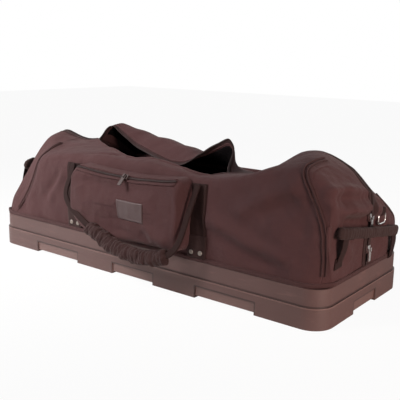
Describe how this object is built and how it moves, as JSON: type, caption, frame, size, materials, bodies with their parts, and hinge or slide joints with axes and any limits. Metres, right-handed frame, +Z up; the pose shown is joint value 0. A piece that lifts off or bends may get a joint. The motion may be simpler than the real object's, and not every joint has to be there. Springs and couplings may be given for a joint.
{
  "type": "drum hardware case",
  "caption": "Long soft-sided hardware case on a moulded tray, with a zippered pocket, webbing carry loops, end handles and an open padded top with slumped end hoods.",
  "frame": {"origin": "centre of the plane that the tray's feet rest on", "axes": "+X along the case to its right end, -Y to the front with the pocket, +Z up"},
  "size_m": [1.004, 0.4768, 0.3269],
  "materials": {
    "badge": "plain sewn patch",
    "binding": "folded woven binding",
    "board": "fabric over a stiff foam board",
    "coil": "moulded coil teeth",
    "fabric": "heavy woven nylon, lightly padded",
    "handle": "padded fabric grip",
    "lining": "smooth woven lining",
    "metal": "bright plated metal",
    "tape": "woven tape",
    "tray": "satin moulded plastic",
    "webbing": "woven webbing"
  },
  "bodies": {
    "case": {"back_left_piping": "binding", "back_left_strap": "webbing", "back_panel": "fabric", "back_right_piping": "binding", "back_right_strap": "webbing", "base_board": "board", "base_tray": "tray", "body_lining": "lining", "front_left_piping": "binding", "front_left_strap": "webbing", "front_panel": "fabric", "front_right_piping": "binding", "front_right_strap": "webbing", "left_end_panel": "fabric", "left_handle_anchors": "webbing", "left_hood": "fabric", "left_ring_tab": "webbing", "left_zipper_coil": "coil", "left_zipper_tape": "tape", "pocket_badge": "badge", "pocket_bag": "fabric", "pocket_zipper_coil": "coil", "pocket_zipper_tape": "tape", "right_end_panel": "fabric", "right_handle_anchors": "webbing", "right_hood": "fabric", "right_ring_tab": "webbing", "right_zipper_coil": "coil", "right_zipper_tape": "tape", "rim_binding": "binding", "strap_patches": "webbing", "strap_rivets": "metal"},
    "front_flap": {"front_flap": "fabric", "front_flap_lining": "lining", "front_flap_tape": "tape", "front_flap_coil": "coil"},
    "back_flap": {"back_flap": "fabric", "back_flap_lining": "lining", "back_flap_tape": "tape", "back_flap_coil": "coil"},
    "front_handle": {"front_handle_loop": "webbing", "front_handle_grip": "handle"},
    "back_handle": {"back_handle_loop": "webbing", "back_handle_grip": "handle"},
    "left_end_handle": {"left_handle_bar": "handle", "left_handle_legs": "webbing"},
    "right_end_handle": {"right_handle_bar": "handle", "right_handle_legs": "webbing"},
    "upper_slider": {"upper_slider": "metal"},
    "upper_pull": {"upper_pull": "metal"},
    "lower_slider": {"lower_slider": "metal"},
    "lower_pull": {"lower_pull": "metal"},
    "pocket_slider": {"pocket_slider": "metal"},
    "pocket_pull": {"pocket_pull": "metal"},
    "left_ring": {"left_ring": "metal"},
    "right_ring": {"right_ring": "metal"}
  },
  "joints": [
    {"name": "front_flap_hinge", "type": "hinge", "parent": "case", "child": "front_flap", "pos_m": [0, -0.1474, 0.2725], "axis": [1, 0, 0], "range_deg": [0, 260]},
    {"name": "back_flap_hinge", "type": "hinge", "parent": "case", "child": "back_flap", "pos_m": [0, 0.149, 0.21932], "axis": [1, 0, 0], "range_deg": [-145, 26]},
    {"name": "front_handle_swing", "type": "hinge", "parent": "case", "child": "front_handle", "pos_m": [0, -0.1841, 0.246], "axis": [1, 0, 0], "range_deg": [-150, 0]},
    {"name": "back_handle_swing", "type": "hinge", "parent": "case", "child": "back_handle", "pos_m": [0, 0.18433, 0.18089], "axis": [1, 0, 0], "range_deg": [0, 150]},
    {"name": "left_end_handle_swing", "type": "hinge", "parent": "case", "child": "left_end_handle", "pos_m": [-0.4793, 0, 0.114], "axis": [0, -1, 0], "range_deg": [0, 60]},
    {"name": "right_end_handle_swing", "type": "hinge", "parent": "case", "child": "right_end_handle", "pos_m": [0.4793, -0.008, 0.1088], "axis": [0, 0.9816, -0.1908], "range_deg": [0, 60]},
    {"name": "upper_slider_run", "type": "slide", "parent": "case", "child": "upper_slider", "axis": [0, 0, 1], "range_m": [-0.03, 0.04]},
    {"name": "upper_pull_swing", "type": "hinge", "parent": "upper_slider", "child": "upper_pull", "pos_m": [0.4832, 0, 0.19], "axis": [0, -1, 0], "range_deg": [0, 150]},
    {"name": "lower_slider_run", "type": "slide", "parent": "case", "child": "lower_slider", "axis": [0, 0, 1], "range_m": [-0.02, 0.03]},
    {"name": "lower_pull_swing", "type": "hinge", "parent": "lower_slider", "child": "lower_pull", "pos_m": [0.4832, 0, 0.124], "axis": [0, -1, 0], "range_deg": [0, 90]},
    {"name": "pocket_slider_run", "type": "slide", "parent": "case", "child": "pocket_slider", "axis": [1, 0, 0], "range_m": [-0.13, 0.1]},
    {"name": "pocket_pull_swing", "type": "hinge", "parent": "pocket_slider", "child": "pocket_pull", "pos_m": [0.015, -0.2208, 0.2448], "axis": [-1, 0, 0], "range_deg": [0, 120]},
    {"name": "left_ring_swing", "type": "hinge", "parent": "case", "child": "left_ring", "pos_m": [-0.479, 0.058, 0.138], "axis": [0, 1, 0], "range_deg": [0, 100]},
    {"name": "right_ring_swing", "type": "hinge", "parent": "case", "child": "right_ring", "pos_m": [0.479, 0.058, 0.188], "axis": [0, -1, 0], "range_deg": [0, 100]}
  ]
}
